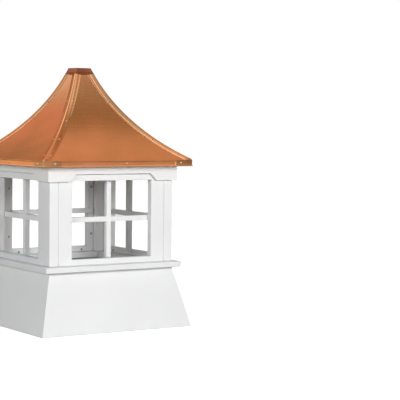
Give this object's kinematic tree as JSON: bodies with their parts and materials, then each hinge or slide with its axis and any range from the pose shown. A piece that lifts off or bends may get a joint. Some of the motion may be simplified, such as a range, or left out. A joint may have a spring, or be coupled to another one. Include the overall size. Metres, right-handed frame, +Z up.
{
  "type": "roof cupola",
  "caption": "Square roof cupola: flared skirt, open windows with crossed bars on each side, and a bell-curved sheet copper roof with folded hip caps and a small hood.",
  "frame": {"origin": "centre of the square on which the foot of the skirt stands", "axes": "+Z up; -Y is the front and +X the right-hand side, and the four sides are alike"},
  "size_m": [0.6096, 0.6096, 0.941],
  "materials": {
    "white_board": "smooth white cellular PVC board, satin",
    "copper_sheet": "bright rolled copper sheet",
    "dark_copper": "copper sheet slightly darkened by handling",
    "screw_steel": "dull zinc-plated screw head",
    "plywood": "bare exterior plywood"
  },
  "bodies": {
    "root": {"cleat_back_left": "white_board", "cleat_back_right": "white_board", "cleat_front_left": "white_board", "cleat_front_right": "white_board", "fascia_back": "copper_sheet", "fascia_front": "copper_sheet", "fascia_left": "copper_sheet", "fascia_right": "copper_sheet", "frieze_back": "white_board", "frieze_front": "white_board", "frieze_left": "white_board", "frieze_right": "white_board", "hip_cap_back_left": "copper_sheet", "hip_cap_back_right": "copper_sheet", "hip_cap_front_left": "copper_sheet", "hip_cap_front_right": "copper_sheet", "post_back_left": "white_board", "post_back_right": "white_board", "post_front_left": "white_board", "post_front_right": "white_board", "roof_back": "copper_sheet", "roof_deck": "plywood", "roof_front": "copper_sheet", "roof_hood": "dark_copper", "roof_left": "copper_sheet", "roof_right": "copper_sheet", "sill_back": "white_board", "sill_front": "white_board", "sill_left": "white_board", "sill_right": "white_board", "skirt_back": "white_board", "skirt_front": "white_board", "skirt_left": "white_board", "skirt_right": "white_board", "wall_back": "white_board", "wall_front": "white_board", "wall_left": "white_board", "wall_right": "white_board", "window_bars_back": "white_board", "window_bars_front": "white_board", "window_bars_left": "white_board", "window_bars_right": "white_board"}
  },
  "joints": []
}
